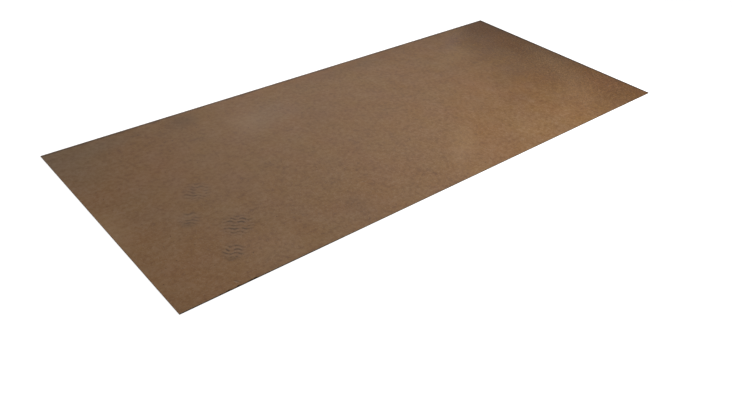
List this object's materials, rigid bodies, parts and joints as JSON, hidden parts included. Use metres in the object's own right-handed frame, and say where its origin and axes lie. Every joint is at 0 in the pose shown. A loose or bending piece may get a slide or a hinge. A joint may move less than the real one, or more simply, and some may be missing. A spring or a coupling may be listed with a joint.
{
  "type": "hardboard sheet",
  "caption": "Flat rectangular sheet of thin hardboard, with a smooth brown face, a screen-marked back and square-trimmed edges.",
  "frame": {"origin": "middle of the back face, which lies on the floor", "axes": "+X along the length, +Y across the width, +Z out of the smooth face"},
  "size_m": [2.745, 1.22, 0.0032],
  "materials": {
    "hardboard": "satin"
  },
  "bodies": {
    "root": {"hardboard_sheet": "hardboard"}
  },
  "joints": []
}
